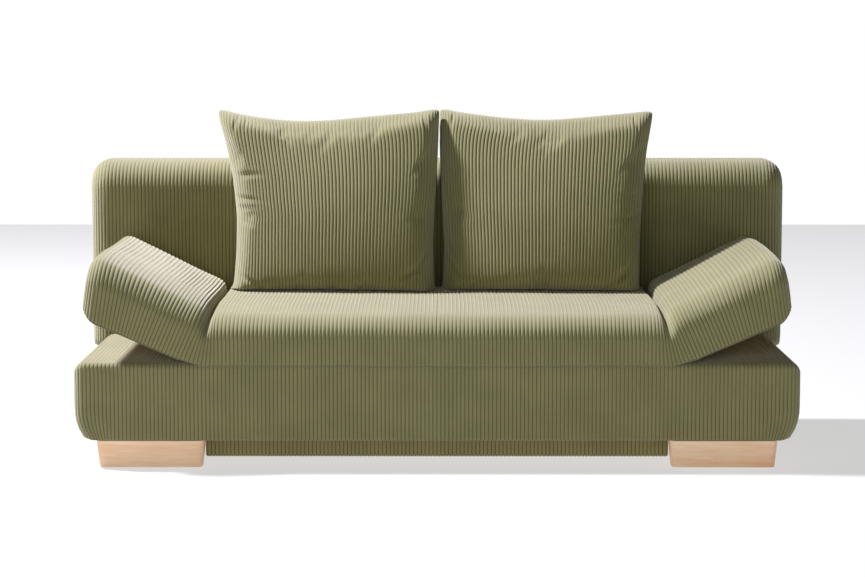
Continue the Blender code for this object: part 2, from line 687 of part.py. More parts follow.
def back_frame():
    pieces = []
    front, rear = BACK_STILE_FRONT, BACK_STILE_REAR
    stile_top = BACK_FRAME_TOP - RAIL - GAP
    pieces.append(box("back_top_rail", (-BACK_FRAME_HALF, front, BACK_FRAME_TOP - RAIL),
                      (BACK_FRAME_HALF, rear, BACK_FRAME_TOP), timber))
    inner = SLOT_LOW_X - GAP
    pieces.append(box("back_bottom_rail", (-inner, front, BACK_FRAME_BOTTOM),
                      (inner, rear, BACK_FRAME_BOTTOM + RAIL), timber))
    for side, sign in (("left", -1), ("right", 1)):
        pieces.append(mirror_box(f"back_{side}_hinge_stile", sign,
                                 (HINGE_STILE_X, HINGE_STILE_X + RAIL), (front, rear),
                                 (BACK_FRAME_BOTTOM, stile_top), timber))
        pieces.append(mirror_box(f"back_{side}_end_stile", sign,
                                 (BACK_FRAME_HALF - RAIL, BACK_FRAME_HALF), (front, rear),
                                 (BACK_FRAME_BOTTOM, stile_top), timber))
    pieces.append(box("back_panel", (-BACK_FRAME_HALF, BACK_FRAME_FRONT,
                                     BACK_FRAME_BOTTOM + BACK_PANEL_LIFT),
                      (BACK_FRAME_HALF, BACK_FRAME_FRONT + BACK_PANEL, BACK_FRAME_TOP), timber))
    return pieces


def back_cover():
    cover = box("back_rear_cover",
                (-BACK_FRAME_HALF, BACK_REAR - BACK_COVER, BACK_FRAME_BOTTOM),
                (BACK_FRAME_HALF, BACK_REAR, BACK_FRAME_TOP), lining)
    return [cover] + [combine(cover, tool) for tool in back_slots("cover")]


# ---- pillows ----------------------------------------------------------------
def pillow(side, sign):
    """A loose back pillow that stands on the seat and thins towards its top."""
    bottom = SEAT_TOP + GAP
    rear = BACK_FRONT - PILLOW_BACK_GAP
    outline = [(rear - PILLOW_BOTTOM_DEPTH, bottom), (rear, bottom),
               (rear, PILLOW_TOP), (rear - PILLOW_TOP_DEPTH, PILLOW_TOP)]
    xs = sorted((sign * PILLOW_SPLIT, sign * (PILLOW_SPLIT + PILLOW_WIDTH)))
    bm = prism_bmesh(outline, "X", *xs)
    outer = max(abs(x) for x in xs) - NEAR
    round_edges(bm, lambda co: abs(co.x) > outer and co.z < bottom + NEAR, PILLOW_ROUND, 4)
    obj = object_from(f"{side}_pillow", bm, corduroy)
    bevel = obj.modifiers.new("Rounding", "BEVEL")
    bevel.width = PILLOW_ROUND / 5
    bevel.segments = 2
    bevel.angle_limit = math.radians(50)
    hang_on(new_pivot(f"{side}_pillow_axis", (sum(xs) / 2, rear, bottom)), [obj])


def build():
    base_boards()
    base_upholstery()
    feet()
    plinth()
    base_brackets()
    pivot_bolts()
    back_axis = new_pivot("back_axis", (0, PIVOT_Y, PIVOT_Z))
    seat_axis = new_pivot("seat_axis", (0, PIVOT_Y, PIVOT_Z))
    hang_on(back_axis, back_pad() + back_frame() + back_cover() + back_levers())
    seat = seat_pad() + seat_frame() + seat_levers()
    for side, sign in (("left", -1), ("right", 1)):
        seat += arm(side, sign)
        pillow(side, sign)
    hang_on(seat_axis, seat + [back_axis])


remove_everything()
PARTS = new_collection("futon_sofa_bed")
CUTTERS = new_collection("cutters")
build()
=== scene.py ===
# %% [markdown]
# # Futon sofa bed in ribbed cloth
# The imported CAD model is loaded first, as a fixed frame. It holds every size, board, hinge and
# foot, and a plain block for each cushion. The lesson then makes each upholstered piece again as
# a ribbed, stuffed form in the place of its plain block, and lets it ride on the same body, so
# that it moves with the joints. Nothing in the frame is moved or changed.

# %% Load the frame
import math

import bmesh
import bpy
import numpy as np
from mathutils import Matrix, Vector


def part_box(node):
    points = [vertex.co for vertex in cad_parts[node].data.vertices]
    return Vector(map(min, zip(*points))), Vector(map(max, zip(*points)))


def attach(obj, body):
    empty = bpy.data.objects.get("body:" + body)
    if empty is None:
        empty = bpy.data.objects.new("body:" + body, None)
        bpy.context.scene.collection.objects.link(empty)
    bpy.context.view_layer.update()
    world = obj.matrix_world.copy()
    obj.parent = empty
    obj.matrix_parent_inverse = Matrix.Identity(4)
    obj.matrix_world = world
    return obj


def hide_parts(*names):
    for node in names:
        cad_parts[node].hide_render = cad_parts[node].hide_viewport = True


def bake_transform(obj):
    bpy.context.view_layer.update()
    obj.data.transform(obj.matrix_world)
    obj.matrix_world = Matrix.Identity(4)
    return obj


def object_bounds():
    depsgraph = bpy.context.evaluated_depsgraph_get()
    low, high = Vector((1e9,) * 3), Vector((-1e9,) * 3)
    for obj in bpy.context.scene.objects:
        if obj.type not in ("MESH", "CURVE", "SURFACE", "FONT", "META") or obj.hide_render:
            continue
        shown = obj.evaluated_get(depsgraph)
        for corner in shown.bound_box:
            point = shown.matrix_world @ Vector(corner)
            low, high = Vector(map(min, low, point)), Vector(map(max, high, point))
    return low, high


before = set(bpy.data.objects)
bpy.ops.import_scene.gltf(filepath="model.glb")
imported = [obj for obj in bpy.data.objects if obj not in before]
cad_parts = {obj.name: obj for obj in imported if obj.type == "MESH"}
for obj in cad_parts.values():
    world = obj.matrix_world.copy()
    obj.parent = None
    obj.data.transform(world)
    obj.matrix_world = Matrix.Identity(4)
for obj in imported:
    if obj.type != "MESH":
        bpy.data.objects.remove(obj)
cad_box = [list(corner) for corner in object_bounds()]


# %% Where a cushion goes
def corner_points(*nodes):
    """Lowest and highest corner of several CAD nodes together."""
    boxes = [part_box(n) for n in nodes]
    low = [min(b[0][i] for b in boxes) for i in range(3)]
    high = [max(b[1][i] for b in boxes) for i in range(3)]
    return low, high


print("seat space:", corner_points("seat_pad"))

# %% [markdown]
# ## Building a material from nodes
# A material is a small graph. Adding a node, setting it up and linking its inputs takes several
# lines each time, so one helper does all three and each material then reads as a list of steps.
# Colours are written as the hex values that a colour picker shows. Those are sRGB, while the
# shader works in linear light, so one function turns them over.

# %% Colours and the node helper
def linear(hex_color):
    """An sRGB hex colour as the linear values that the nodes work in."""
    parts = [int(hex_color[i:i + 2], 16) / 255 for i in (1, 3, 5)]
    return tuple(p / 12.92 if p <= 0.04045 else ((p + 0.055) / 1.055) ** 2.4 for p in parts)


def rgba(hex_color):
    return (*linear(hex_color), 1.0)


def add(material, kind, settings=None, inputs=None):
    """Add a node, set its properties, and fill or link its inputs by name or number."""
    node = material.node_tree.nodes.new(kind)
    for key, value in (settings or {}).items():
        setattr(node, key, value)
    for key, value in (inputs or {}).items():
        if isinstance(value, bpy.types.NodeSocket):
            material.node_tree.links.new(value, node.inputs[key])
        else:
            node.inputs[key].default_value = value
    return node


def new_material(name):
    material = bpy.data.materials.new(name)
    material.use_nodes = True
    return material, material.node_tree.nodes["Principled BSDF"]


print("linear value of middle grey:", round(linear("#808080")[0], 4))

# %% [markdown]
# ## Corduroy
# Corduroy is a cotton or polyester cloth with a cut pile woven in rows. Each row is a soft rib.
# Its top is painted pale, as a painted highlight where the fibre ends catch the light, and the
# valley between two ribs is painted dark, as painted shade.
# The ribs themselves are real geometry here, because they show in the outline and cast shade on
# each other. The material reads a number called "rib" that the mesh carries, 0 in a valley and 1
# on top, so the colour always sits exactly on the shape. Fine noise in the cloth's own UV map
# gives the pile its grain, and sheen gives the soft glow that a plain rough surface lacks.

# %% Corduroy
GRAIN_PER_METRE = 620.0     # tufts of pile about 1.6 mm apart
PATCHES_PER_METRE = 9.0     # brushed and unbrushed areas about 11 cm apart


def corduroy():
    """Ribbed upholstery cloth: painted highlight on tops, painted shade in valleys, fine grain,
    soft sheen.
    """
    m, shader = new_material("olive_corduroy")
    rib = add(m, "ShaderNodeAttribute", {"attribute_name": "rib"})
    uv = add(m, "ShaderNodeUVMap", {"uv_map": "cloth"})
    tone = add(m, "ShaderNodeValToRGB", None, {"Fac": rib.outputs["Fac"]})
    # the valley colour is painted shade and the top colour a painted highlight, over the ribs' own
    # shade
    valley, top = tone.color_ramp.elements
    valley.position, valley.color = 0.0, rgba("#45422a")
    top.position, top.color = 0.75, rgba("#85825a")
    grain = add(m, "ShaderNodeTexNoise", {"noise_dimensions": "2D"},
                {"Vector": uv.outputs["UV"], "Scale": GRAIN_PER_METRE, "Detail": 3.0,
                 "Roughness": 0.65})
    patches = add(m, "ShaderNodeTexNoise", {"noise_dimensions": "2D"},
                  {"Vector": uv.outputs["UV"], "Scale": PATCHES_PER_METRE, "Detail": 2.0})
    fine = add(m, "ShaderNodeMapRange", None,
               {"Value": grain.outputs["Fac"], "From Min": 0.3, "From Max": 0.7,
                "To Min": 0.80, "To Max": 1.14})
    broad = add(m, "ShaderNodeMapRange", None,
                {"Value": patches.outputs["Fac"], "From Min": 0.3, "From Max": 0.7,
                 "To Min": 0.94, "To Max": 1.05})
    both = add(m, "ShaderNodeMath", {"operation": "MULTIPLY"},
               {0: fine.outputs["Result"], 1: broad.outputs["Result"]})
    color = add(m, "ShaderNodeVectorMath", {"operation": "SCALE"},
                {0: tone.outputs["Color"], "Scale": both.outputs["Value"]})
    bump = add(m, "ShaderNodeBump", None,
               {"Strength": 0.5, "Distance": 0.0006, "Height": grain.outputs["Fac"]})
    m.node_tree.links.new(color.outputs["Vector"], shader.inputs["Base Color"])
    m.node_tree.links.new(bump.outputs["Normal"], shader.inputs["Normal"])
    shader.inputs["Roughness"].default_value = 0.92
    shader.inputs["Specular IOR Level"].default_value = 0.15
    shader.inputs["Sheen Weight"].default_value = 0.65
    shader.inputs["Sheen Roughness"].default_value = 0.55
    shader.inputs["Sheen Tint"].default_value = rgba("#f4eee0")
    return m


CORDUROY = corduroy()
print("cloth:", CORDUROY.name, len(CORDUROY.node_tree.nodes), "nodes")

# %% [markdown]
# ## Beech and raw timber
# The feet are solid beech with a thin satin lacquer: an even pinkish wood, with faint streaks
# and short dark pores along the grain. The frame inside is sawn softwood and board, left raw.
# Both are the same idea with other numbers, so one function makes them: noise that is stretched
# along the board gives the streaks, and a finer copy gives the pores and the bump.

# %% Wood
def wood(name, light, dark, scale, stretch, roughness, coat):
    """Wood grain along X: stretched noise for the streaks and fine short pores."""
    m, shader = new_material(name)
    place = add(m, "ShaderNodeTexCoord")
    long_way = add(m, "ShaderNodeMapping", None,
                   {"Vector": place.outputs["Object"], "Scale": (stretch, 1.0, 1.0)})
    streaks = add(m, "ShaderNodeTexNoise", None,
                  {"Vector": long_way.outputs["Vector"], "Scale": scale, "Detail": 6.0,
                   "Roughness": 0.6, "Distortion": 0.4})
    pores = add(m, "ShaderNodeTexNoise", None,
                {"Vector": long_way.outputs["Vector"], "Scale": scale * 14, "Detail": 2.0})
    mix = add(m, "ShaderNodeMath", {"operation": "MULTIPLY_ADD"},
              {0: pores.outputs["Fac"], 1: 0.35, 2: streaks.outputs["Fac"]})
    tone = add(m, "ShaderNodeValToRGB", None, {"Fac": mix.outputs["Value"]})
    late, early = tone.color_ramp.elements
    late.position, late.color = 0.45, rgba(dark)
    early.position, early.color = 0.85, rgba(light)
    bump = add(m, "ShaderNodeBump", None,
               {"Strength": 0.15, "Distance": 0.0004, "Height": pores.outputs["Fac"]})
    m.node_tree.links.new(tone.outputs["Color"], shader.inputs["Base Color"])
    m.node_tree.links.new(bump.outputs["Normal"], shader.inputs["Normal"])
    shader.inputs["Roughness"].default_value = roughness
    shader.inputs["Coat Weight"].default_value = coat
    shader.inputs["Coat Roughness"].default_value = 0.3
    return m


# Streaks about 11 cm and 14 cm apart across the grain, eight to ten times as long along it
BEECH = wood("lacquered_beech", "#fadcbc", "#e6b083", 9.0, 0.12, 0.42, 0.25)
TIMBER = wood("raw_timber", "#c9a878", "#a07c4e", 7.0, 0.10, 0.80, 0.0)
print("woods:", BEECH.name, TIMBER.name)

# %% [markdown]
# ## Backing cloth
# The rear of the back and of the box is closed with a thin dark woven cloth, stapled on. Two
# wave textures at right angles, multiplied, leave a bright spot wherever both threads are up,
# which is what a plain weave looks like. Real threads are under 1 mm and would vanish, so these
# are drawn a little over 1 mm apart.

# %% Woven backing cloth
THREADS = 260.0            # scale of the waves: threads about 1.2 mm apart


def backing_cloth():
    """Plain woven cloth that closes the rear and lines the bedding space."""
    m, shader = new_material("woven_backing_cloth")
    place = add(m, "ShaderNodeTexCoord")
    warp = add(m, "ShaderNodeTexWave", {"bands_direction": "X"},
               {"Vector": place.outputs["Object"], "Scale": THREADS, "Distortion": 1.0})
    weft = add(m, "ShaderNodeTexWave", {"bands_direction": "Z"},
               {"Vector": place.outputs["Object"], "Scale": THREADS, "Distortion": 1.0})
    weave = add(m, "ShaderNodeMath", {"operation": "MULTIPLY"},
                {0: warp.outputs["Fac"], 1: weft.outputs["Fac"]})
    tone = add(m, "ShaderNodeMix", {"data_type": "RGBA"},
               {0: weave.outputs["Value"], 6: rgba("#2f2d26"), 7: rgba("#48463b")})
    bump = add(m, "ShaderNodeBump", None,
               {"Strength": 0.4, "Distance": 0.0004, "Height": weave.outputs["Value"]})
    m.node_tree.links.new(tone.outputs[2], shader.inputs["Base Color"])
    m.node_tree.links.new(bump.outputs["Normal"], shader.inputs["Normal"])
    shader.inputs["Roughness"].default_value = 0.95
    return m


LINING = backing_cloth()
print("backing:", LINING.name)

# %% [markdown]
# ## Zinc plate
# Levers, brackets, bolts and pins are pressed steel with a zinc plating: a cool grey metal whose
# gloss changes a little from spot to spot. The metal itself is one colour, so only the roughness
# is driven by noise.

# %% Zinc-plated steel
def zinc():
    """Zinc-plated pressed steel with a faint mottled gloss, spots about 17 mm apart."""
    m, shader = new_material("zinc_plated_steel")
    place = add(m, "ShaderNodeTexCoord")
    mottle = add(m, "ShaderNodeTexNoise", None,
                 {"Vector": place.outputs["Object"], "Scale": 60.0, "Detail": 3.0})
    rough = add(m, "ShaderNodeMapRange", None,
                {"Value": mottle.outputs["Fac"], "To Min": 0.28, "To Max": 0.5})
    m.node_tree.links.new(rough.outputs["Result"], shader.inputs["Roughness"])
    shader.inputs["Base Color"].default_value = rgba("#b9bbbd")
    shader.inputs["Metallic"].default_value = 1.0
    return m


ZINC = zinc()
print("metal:", ZINC.name)

# %% [markdown]
# ## The shape of a rib
# Each rib is a soft round ridge. Its profile is a flattened half circle that repeats every 11 mm
# across the cloth. Six grid columns to a rib are enough to round it, and they keep a whole sofa
# of ribs under a million triangles. No upholstered face is quite flat either, so a sum of a few
# sine waves stands by to make it wander. It has no random part and comes out the same each run.

# %% Rib profile and unevenness
RIB = 0.011                # one rib and one valley
RIB_HEIGHT = 0.0026
STEPS_PER_RIB = 6          # grid columns across one rib


def rib_height(across):
    """0 in a valley and 1 on top of a rib, for a distance across the ribs in metres."""
    t = 2.0 * (across / RIB - np.floor(across / RIB)) - 1.0
    return np.sqrt(np.clip(1.0 - np.abs(t) ** 2.4, 0.0, 1.0))


def smooth_step(low, high, value):
    """0 below low and 1 above high, with a soft start and a soft end."""
    t = np.clip((value - low) / (high - low), 0.0, 1.0)
    return t * t * (3.0 - 2.0 * t)


def ripple(a, b, seed):
    """A smooth, repeatable unevenness between -1 and 1."""
    total = np.zeros(np.broadcast(a, b).shape)
    for k in range(5):
        turn = seed * 1.7 + k * 2.399
        wave = 7.0 * 1.63 ** k
        direction = a * math.cos(turn) + b * math.sin(turn)
        total += np.sin(wave * direction + seed * 3.1 + k) * 0.72 ** k
    return total / 2.9


print("height across one rib:", rib_height(np.linspace(0, RIB, STEPS_PER_RIB + 1)).round(2))

# %% [markdown]
# ## From a grid of places to ribbed cloth
# A piece starts as a table of places: columns run across the ribs, rows run along them. A grid
# from bmesh supplies the faces, and every vertex is sent to its place in the table, pushed out
# along the plain form's normal by the height of the rib there. The normal comes from the
# differences between neighbouring places. The mesh also carries the "rib" number and a UV map
# measured in metres of cloth, which the corduroy reads.

# %% Normals of a grid
def grid_normals(points):
    """Unit normals of a (rows, columns, 3) grid whose last row is its first row again."""
    across = np.gradient(points, axis=1)
    along = np.roll(points[:-1], -1, axis=0) - np.roll(points[:-1], 1, axis=0)
    along = np.concatenate([along, along[:1]])
    normal = np.cross(across, along)
    length = np.linalg.norm(normal, axis=2, keepdims=True)
    return normal / np.maximum(length, 1e-12)


turn = np.linspace(0, 2 * math.pi, 13)[:, None] + np.zeros(3)
tube = np.stack([np.arange(3) + 0 * turn, np.cos(turn), np.sin(turn)], axis=2)
print("first normal of a tube:", grid_normals(tube)[0, 0].round(2))


# %% Closing a piece
WELD = 2e-5                # places nearer than this are one


def close_up(name, mesh):
    """Weld the grid's meeting edges, close its ends and turn its faces outward."""
    bm = bmesh.new()
    bm.from_mesh(mesh)
    bmesh.ops.remove_doubles(bm, verts=bm.verts, dist=WELD)
    edges = [e for e in bm.edges if e.is_boundary]
    if edges:
        bmesh.ops.holes_fill(bm, edges=edges)
    bmesh.ops.recalc_face_normals(bm, faces=bm.faces)
    for face in bm.faces:
        face.smooth = True
    bm.to_mesh(mesh)
    bm.free()
    obj = bpy.data.objects.new(name, mesh)
    bpy.context.scene.collection.objects.link(obj)
    mesh.materials.append(CORDUROY)
    return obj


print("welding places nearer than", WELD * 1000, "mm")

# %% The ribbed mesh
SEAM_AND_SHADE_ROWS = 8              # rows round the sewn lower edge of a cover: flattened ribs and painted shade
SEAM_RIB_AND_SHADE = 0.25          # how much of a rib is left there, in height and in colour; the darker colour is painted shade


def cloth_grid(name, points, across, along, flip=1.0, height=RIB_HEIGHT, seam_and_shade_rows=0):
    """A ribbed mesh from a (rows, columns, 3) grid; across and along are cloth distances."""
    rows, columns = points.shape[:2]
    rib = np.array(np.broadcast_to(rib_height(across), (rows, columns)))
    # the lower edge rows get flatter ribs and the dark valley colour: a sewn seam with painted
    # shade
    rib[:seam_and_shade_rows] *= SEAM_RIB_AND_SHADE
    rib[-1] = rib[0]
    normal = grid_normals(points) * flip
    points = points + normal * (rib * height - height)[..., None]
    bm = bmesh.new()
    bmesh.ops.create_grid(bm, x_segments=columns - 1, y_segments=rows - 1, size=0.5)
    mesh = bpy.data.meshes.new(name)
    bm.to_mesh(mesh)
    bm.free()
    flat = np.empty(len(mesh.vertices) * 3)
    mesh.vertices.foreach_get("co", flat)
    flat = flat.reshape(-1, 3)
    span = flat.max(axis=0) - flat.min(axis=0)
    ix = np.rint((flat[:, 0] - flat[:, 0].min()) / span[0] * (columns - 1)).astype(int)
    iy = np.rint((flat[:, 1] - flat[:, 1].min()) / span[1] * (rows - 1)).astype(int)
    mesh.vertices.foreach_set("co", points[iy, ix].ravel())
    attribute = mesh.attributes.new("rib", "FLOAT", "POINT")
    attribute.data.foreach_set("value", rib[iy, ix].astype(np.float32).ravel())
    across = np.broadcast_to(across, (rows, columns))
    along = np.broadcast_to(along, (rows, columns))
    loops = np.empty(len(mesh.loops), dtype=int)
    mesh.loops.foreach_get("vertex_index", loops)
    uv = np.stack([across[iy, ix], along[iy, ix]], axis=1)[loops]
    layer = mesh.uv_layers.new(name="cloth")
    layer.data.foreach_set("uv", uv.ravel().astype(np.float32))
    return close_up(name, mesh)


print("seam rows:", SEAM_AND_SHADE_ROWS, "of every cover that has a sewn lower edge")

# %% [markdown]
# ## A stuffed box as a swept outline
# Box cover, back, seat and arms are all the same idea: a rounded rectangle, seen from the side,
# that runs along the sofa. Sweeping that outline along X keeps every rib in its own column. At
# an end the outline draws in on a quarter round, and then keeps shrinking across the flat end
# until it closes, so that the ribs go on there as nested outlines with mitred corners. Each of
# the four corners has its own radius, because a cushion is soft on top and tight at its seam.

# %% The outline
LEAST_RADIUS = 0.003       # no corner is tighter, even deep inside an end


def between(a, b, steps):
    """Evenly spaced points strictly between a and b."""
    t = np.linspace(0, 1, steps + 1)[1:-1, None]
    return a + (b - a) * t


def section(low, high, radii, insets=(0.0, 0.0, 0.0, 0.0), straight_steps=8, arc_steps=9):
    """A closed (y, z) outline with its own radius at each corner, from the front edge upward.
    The insets draw it in at the front, the underside, the rear and the top."""
    front, under, rear, top = insets
    y0, z0 = low[0] + front, low[1] + under
    y1, z1 = high[0] - rear, high[1] - top
    spots = [(y0, z0, 1, 1, 270, 180), (y0, z1, 1, -1, 180, 90),
             (y1, z1, -1, -1, 90, 0), (y1, z0, -1, 1, 0, -90)]
    less = (min(front, under), min(front, top), min(rear, top), min(rear, under))
    points = []
    for (y, z, sy, sz, start, end), radius, cut in zip(spots, radii, less):
        r = max(radius - cut, LEAST_RADIUS)
        angles = np.radians(np.linspace(start, end, arc_steps + 1))
        arc = np.stack([y + sy * r + r * np.cos(angles), z + sz * r + r * np.sin(angles)], 1)
        if points:
            points.append(between(points[-1][-1], arc[0], straight_steps))
        points.append(arc)
    points.append(between(points[-1][-1], points[0][0], straight_steps))
    points.append(points[0][:1])
    return np.concatenate(points)


def lengths(outline):
    """Distance along an outline at each of its points."""
    step = np.linalg.norm(np.diff(outline, axis=0), axis=1)
    return np.concatenate([[0.0], np.cumsum(step)])


print("points in an outline:", len(section((0, 0), (1, 1), (0.1,) * 4)))

# %% The sweep
SLIT = 0.004               # half the width of the slit that an end closes to
END_CROWN = 0.005          # how far the middle of a flat end stands out


def end_rounding(distance, half_flat, radius):
    """Along X from the middle: where a column stands and how far it has turned in, 0 to 1."""
    turn = np.clip((np.abs(distance) - half_flat) / radius, 0.0, math.pi / 2)
    x = np.sign(distance) * (np.minimum(np.abs(distance), half_flat) + radius * np.sin(turn))
    return x, 1.0 - np.cos(turn)


def closing_room(low, high, insets):
    """How far the flat end can still draw in before its outline closes to a slit."""
    front, under, rear, top = insets
    return min(high[1] - low[1] - under - top, high[0] - low[0] - front - rear) / 2 - SLIT


def sweep(across, half_flat, end_round, low, high, radii, insets, straight_steps=8):
    """The outline at each place along X: quarter-round ends, then a flat end of nested outlines.
    Returns x, the (rows, columns, 2) outlines and how far each column has turned in."""
    room = closing_room(low, high, insets)
    outer = section(low, high, radii, straight_steps=straight_steps)
    core = section(low, high, radii, insets, straight_steps)
    heart = section(low, high, radii, [cut + room for cut in insets], straight_steps)
    x, turned = end_rounding(across, half_flat, end_round)
    beyond = np.abs(across) - half_flat - end_round * math.pi / 2
    flat = np.clip(beyond / room, 0.0, 1.0)[None, :, None]
    x = x + np.sign(across) * END_CROWN * np.sin(flat[0, :, 0] * math.pi / 2)
    yz = outer[:, None, :] + (core - outer)[:, None, :] * turned[None, :, None]
    return x, yz + (heart - core)[:, None, :] * flat, turned


def loaf(x_half, low, high, radii, end_round, insets, straight_steps=8):
    """A long stuffed form: an outline swept along X, closed at both ends."""
    half_flat = x_half - end_round
    reach = half_flat + end_round * math.pi / 2 + closing_room(low, high, insets)
    ribs = round(2 * reach / RIB / 2) * 2
    across = np.linspace(-reach, reach, ribs * STEPS_PER_RIB + 1)
    x, yz, _ = sweep(across, half_flat, end_round, low, high, radii, insets, straight_steps)
    xs = np.broadcast_to(x, yz.shape[:2])
    points = np.concatenate([xs[..., None], yz], axis=2)
    pitch = 2 * reach / ribs
    outer = section(low, high, radii, straight_steps=straight_steps)
    return points, across[None, :] / pitch * RIB, lengths(outer)[:, None]


print("turned in by:", end_rounding(np.array([0.9, 1.0]), 0.9, 0.1)[1].round(2))

# %% [markdown]
# ## Bedding box
# The box under the seat holds the bedding. Its front and ends are boards under a thin layer of
# padding, with the cloth pulled tight round them, so its upper edges are crisp and its lower
# corners draw in towards the feet. One closed sweep covers it, and the opening is cut afterwards
# with a boolean, as an upholsterer cuts the cloth at the edge of the box. The opening stops 1 mm
# beyond the inner faces of the boards, so the boards are what one sees inside. The rear stays
# 5 mm inside the frame's rear cloth, or the two would flicker through each other.

# %% Box cover
REAR_CLEARANCE = 0.005     # between a cover and the rear cloth of the frame
CORNER_HEIGHT = 0.100      # over which a lower corner draws in
CORNER_DRAW = 0.032        # how far it draws in, at the very foot of the cover
UNEVEN = 0.0012            # pulled cloth still wanders this far in and out


def base_cover():
    low, high = corner_points("base_front_pad", "base_left_pad", "base_right_pad")
    points, across, along = loaf(high[0], (low[1], low[2]), (high[1] - REAR_CLEARANCE, high[2]),
                                 (0.007, 0.018, 0.018, 0.012), 0.034,
                                 (0.034, 0.008, 0.034, 0.034))
    x, z = points[..., 0], points[..., 2]
    drop = np.clip((low[2] + CORNER_HEIGHT - z) / CORNER_HEIGHT, 0.0, 1.0) ** 2.6
    edge = smooth_step(0.88, 1.0, np.abs(x) / high[0])
    points[..., 0] = x - np.sign(x) * CORNER_DRAW * drop * edge
    points[..., 1] += UNEVEN * ripple(points[..., 0], z, 2)
    # the sewn lower edge carries flattened ribs and painted shade
    return cloth_grid("base_upholstery", points, across, along, seam_and_shade_rows=SEAM_AND_SHADE_ROWS)


base = base_cover()
print("box cover:", len(base.data.vertices), "vertices")


# %% Opening for the bedding
def cut_opening(obj, low, high):
    """Cut a box-shaped opening into a closed piece; the cut faces take the lining cloth."""
    bpy.ops.mesh.primitive_cube_add(size=1.0)
    tool = bpy.context.object
    tool.data.materials.append(LINING)
    low, high = Vector(low), Vector(high)
    tool.scale = high - low
    tool.location = (low + high) / 2
    change = obj.modifiers.new("opening", "BOOLEAN")
    change.operation = "DIFFERENCE"
    change.solver = "MANIFOLD"
    change.object = tool
    graph = bpy.context.evaluated_depsgraph_get()
    cut = bpy.data.meshes.new_from_object(obj.evaluated_get(graph))
    obj.modifiers.clear()
    obj.data = cut
    bpy.data.objects.remove(tool, do_unlink=True)


CUT_BEYOND = 0.001         # the cloth is cut this far beyond the boards' inner faces
well_low = [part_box("base_left_partition")[1][0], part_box("base_front_board")[1][1],
            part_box("base_floor_panel")[1][2]]
well_high = [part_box("base_right_partition")[0][0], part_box("base_rear_board")[0][1], 0.5]
cut_opening(base, [v - CUT_BEYOND for v in well_low], [v + CUT_BEYOND for v in well_high])
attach(base, "base")
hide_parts("base_front_pad", "base_left_pad", "base_right_pad",
            "base_left_deck_pad", "base_right_deck_pad")
print("after the opening is cut:", len(base.data.vertices), "vertices")

# %% [markdown]
# ## Plinth
# A board covered in the same cloth closes the gap under the box, set well back between the feet.
# It is flat and nearly square, so a thin sweep with very small radii is all it takes. It hangs
# 10 mm lower than its board, as cloth that is folded under an edge does.

# %% Plinth cover
low, high = corner_points("plinth_cover", "plinth_board")
points, across, along = loaf(high[0], (low[1], low[2] - 0.010), (high[1], high[2]),
                             (0.004, 0.003, 0.003, 0.004), 0.004, (0.0,) * 4, 4)
plinth = cloth_grid("plinth_cloth", points, across, along)
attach(plinth, "base")
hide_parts("plinth_cover", "plinth_board")
print("plinth width:", round(2 * high[0], 3))

# %% [markdown]
# ## Back
# The back is a long firm panel that folds down behind the seat to make half of the bed. Its
# upper front edge is the softest part, with a large round that catches the light as a pale band.
# It is one sweep, closed at both ends, and its rear stays just inside the frame's rear cloth.

# %% Back cover
low, high = corner_points("back_pad")
points, across, along = loaf(high[0], (low[1], low[2] - 0.006),
                             (high[1] - REAR_CLEARANCE, high[2] + 0.002),
                             (0.030, 0.086, 0.040, 0.030), 0.060, (0.060, 0.006, 0.060, 0.060))
points[..., 1] += UNEVEN * ripple(points[..., 0], points[..., 2], 5)
back = cloth_grid("back_upholstery", points, across, along)
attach(back, "back")
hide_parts("back_pad")
print("back cover:", len(back.data.vertices), "vertices")

# %% [markdown]
# ## Seat and arms
# On the real sofa one sheet of cloth runs from the seat onto each arm and is squeezed into a
# crease where the arm hinges. So each half here is a single mesh, from the middle of the sofa to
# the end of its arm. It is first thought of as lying flat: c is the distance along the cloth and
# h the height over the underside. The crease is a dip in the height, gentle on the arm's side,
# so that it never becomes a bare wall.

# %% Sizes of seat and arms
pin_low, pin_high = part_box("right_arm_hinge_pin")
HINGE = Vector([(a + b) / 2 for a, b in zip(pin_low, pin_high)])
CREASE = HINGE.x + 0.012   # where seat and arm meet, measured along the flat cloth
ARM_ANGLE = math.radians(23.2)
ARM_LENGTH = 0.376         # from the hinge to the end of the arm
ARM_END_ROUND = 0.050
SEAT_RADII = (0.007, 0.072, 0.040, 0.015)
ARM_INSETS = (0.036, 0.012, 0.036, 0.050)
CREASE_DEPTH = 0.024
CREASE_WIDTH = (0.015, 0.034)      # towards the seat and towards the arm
FRONT_FALL = (0.26, 0.026)         # the seat slopes down over this depth, by this much
FRONT_OVERHANG = 0.006             # the seat's front stands proud of the box
SIDE_STEPS = 14                    # rows along each straight side of the outline
print("hinge pin at:", [round(v, 4) for v in HINGE])


# %% Seat halves
def seat_thickness(c, thickness):
    """Height of the padding at distance c: fuller on the arm, dipped in the crease."""
    full = thickness + 0.008 * smooth_step(CREASE, CREASE + 0.06, c)
    full = full + 0.014 * smooth_step(CREASE + 0.06, CREASE + 0.36, c)
    width = np.where(c < CREASE, *CREASE_WIDTH)
    return full - CREASE_DEPTH * np.exp(-((c - CREASE) / width) ** 2)


